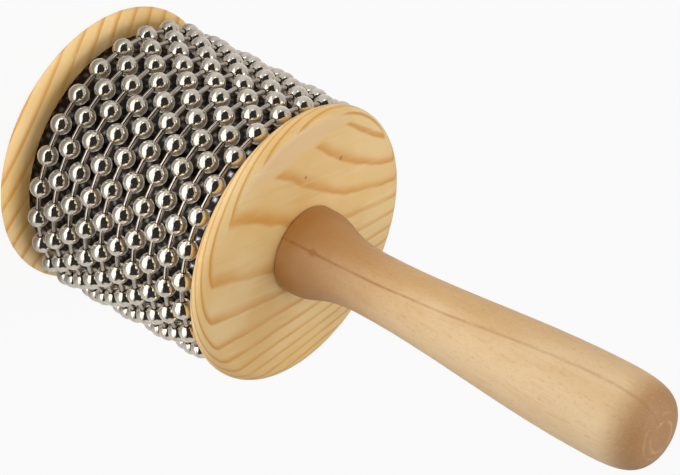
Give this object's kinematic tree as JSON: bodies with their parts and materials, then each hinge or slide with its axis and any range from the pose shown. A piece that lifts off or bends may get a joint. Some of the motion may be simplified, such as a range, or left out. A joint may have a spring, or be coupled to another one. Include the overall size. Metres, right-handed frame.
{
  "type": "cabasa",
  "caption": "Hand cabasa: a turned wooden handle on a drum with an embossed steel sleeve between two pine discs, wrapped in loops of steel ball chain that scrape on the sleeve when turned.",
  "frame": {"origin": "centre of the back disc's outer face, on the instrument's axis, where it stands", "axes": "+Z along the axis from the back disc to the handle's end; the sleeve's seam is on -Y"},
  "size_m": [0.08, 0.08, 0.1973],
  "materials": {
    "handle_wood": "satin lacquered hardwood",
    "disc_wood": "satin lacquered pine",
    "core_wood": "raw turned wood",
    "sleeve_steel": "bright embossed sheet",
    "screw_steel": "zinc plated",
    "bead_nickel": "polished nickel plate",
    "pin_nickel": "nickel plate"
  },
  "bodies": {
    "frame": {"handle": "handle_wood", "front_disc": "disc_wood", "back_disc": "disc_wood", "core": "core_wood", "sleeve": "sleeve_steel", "end_screw": "screw_steel"},
    "loop_01": {"loop_01_beads": "bead_nickel", "loop_01_pins": "pin_nickel"},
    "loop_02": {"loop_02_beads": "bead_nickel", "loop_02_pins": "pin_nickel"},
    "loop_03": {"loop_03_beads": "bead_nickel", "loop_03_pins": "pin_nickel"},
    "loop_04": {"loop_04_beads": "bead_nickel", "loop_04_pins": "pin_nickel"},
    "loop_05": {"loop_05_beads": "bead_nickel", "loop_05_pins": "pin_nickel"},
    "loop_06": {"loop_06_beads": "bead_nickel", "loop_06_pins": "pin_nickel"},
    "loop_07": {"loop_07_beads": "bead_nickel", "loop_07_pins": "pin_nickel"},
    "loop_08": {"loop_08_beads": "bead_nickel", "loop_08_pins": "pin_nickel"},
    "loop_09": {"loop_09_beads": "bead_nickel", "loop_09_pins": "pin_nickel"},
    "loop_10": {"loop_10_beads": "bead_nickel", "loop_10_pins": "pin_nickel"}
  },
  "joints": [
    {"name": "loop_01_turn", "type": "hinge", "parent": "frame", "child": "loop_01", "pos_m": [0, 0, 0.01305], "axis": [0, 0, 1], "continuous": true},
    {"name": "loop_02_turn", "type": "hinge", "parent": "frame", "child": "loop_02", "pos_m": [0, 0, 0.0189], "axis": [0, 0, 1], "continuous": true},
    {"name": "loop_03_turn", "type": "hinge", "parent": "frame", "child": "loop_03", "pos_m": [0, 0, 0.02475], "axis": [0, 0, 1], "continuous": true},
    {"name": "loop_04_turn", "type": "hinge", "parent": "frame", "child": "loop_04", "pos_m": [0, 0, 0.0306], "axis": [0, 0, 1], "continuous": true},
    {"name": "loop_05_turn", "type": "hinge", "parent": "frame", "child": "loop_05", "pos_m": [0, 0, 0.03645], "axis": [0, 0, 1], "continuous": true},
    {"name": "loop_06_turn", "type": "hinge", "parent": "frame", "child": "loop_06", "pos_m": [0, 0, 0.0423], "axis": [0, 0, 1], "continuous": true},
    {"name": "loop_07_turn", "type": "hinge", "parent": "frame", "child": "loop_07", "pos_m": [0, 0, 0.04815], "axis": [0, 0, 1], "continuous": true},
    {"name": "loop_08_turn", "type": "hinge", "parent": "frame", "child": "loop_08", "pos_m": [0, 0, 0.054], "axis": [0, 0, 1], "continuous": true},
    {"name": "loop_09_turn", "type": "hinge", "parent": "frame", "child": "loop_09", "pos_m": [0, 0, 0.05985], "axis": [0, 0, 1], "continuous": true},
    {"name": "loop_10_turn", "type": "hinge", "parent": "frame", "child": "loop_10", "pos_m": [0, 0, 0.0657], "axis": [0, 0, 1], "continuous": true}
  ]
}
